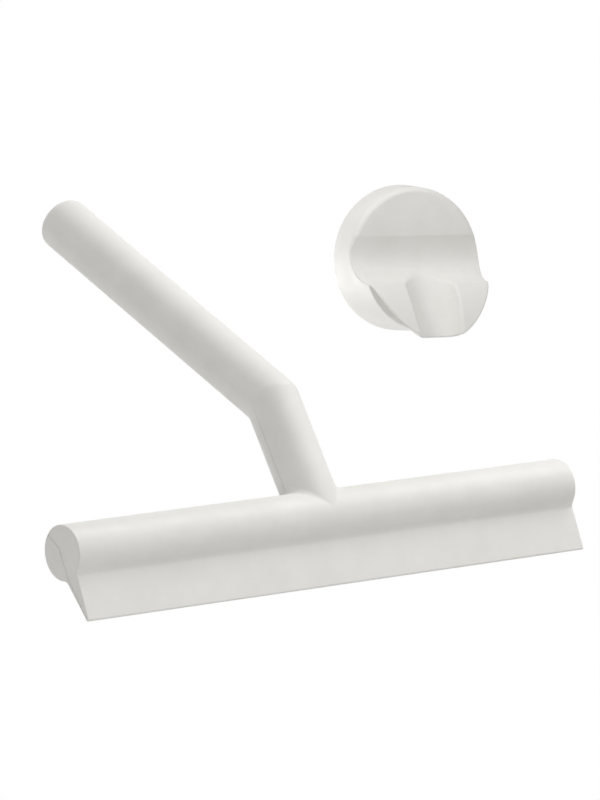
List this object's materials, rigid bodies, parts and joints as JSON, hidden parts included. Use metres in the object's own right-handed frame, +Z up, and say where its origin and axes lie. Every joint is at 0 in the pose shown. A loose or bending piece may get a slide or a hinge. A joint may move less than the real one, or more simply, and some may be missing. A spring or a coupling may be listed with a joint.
{
  "type": "window cleaning squeegee",
  "caption": "Silicone-skinned shower and window squeegee: round head with a wiping blade, bent tube handle, and a round wall holder with a notched trough.",
  "frame": {"origin": "centre of the holder's back face, where its adhesive pad meets the wall", "axes": "+Z up, +Y into the wall, so the room is on the -Y side; +X along the holder's trough, to the right as seen from the room"},
  "size_m": [0.2596, 0.1972, 0.1452],
  "materials": {
    "silicone": "matte",
    "steel": "satin",
    "inner_plastic": "matte",
    "foam": "matte"
  },
  "bodies": {
    "holder": {"holder_cover": "silicone", "holder_core": "inner_plastic", "wall_plate": "steel", "adhesive_pad": "foam", "lock_screw": "steel"},
    "wiper": {"head_cover": "silicone", "handle_cover": "silicone", "head_core": "steel", "head_plug_left": "inner_plastic", "head_plug_right": "inner_plastic", "handle_core": "steel", "handle_plug": "inner_plastic", "neck_insert": "steel", "core_screw": "steel"},
    "blade": {"blade": "silicone"}
  },
  "joints": [
    {"name": "wiper_lift", "type": "slide", "parent": "holder", "child": "wiper", "axis": [0, 0, 1], "range_m": [0, 0.12]},
    {"name": "blade_flex", "type": "hinge", "parent": "wiper", "child": "blade", "pos_m": [-0.11165, -0.15463, -0.08721], "axis": [0.9683, 0.2458, 0.0452], "range_deg": [-10, 10], "stiffness_Nm_per_rad": 0.6}
  ]
}
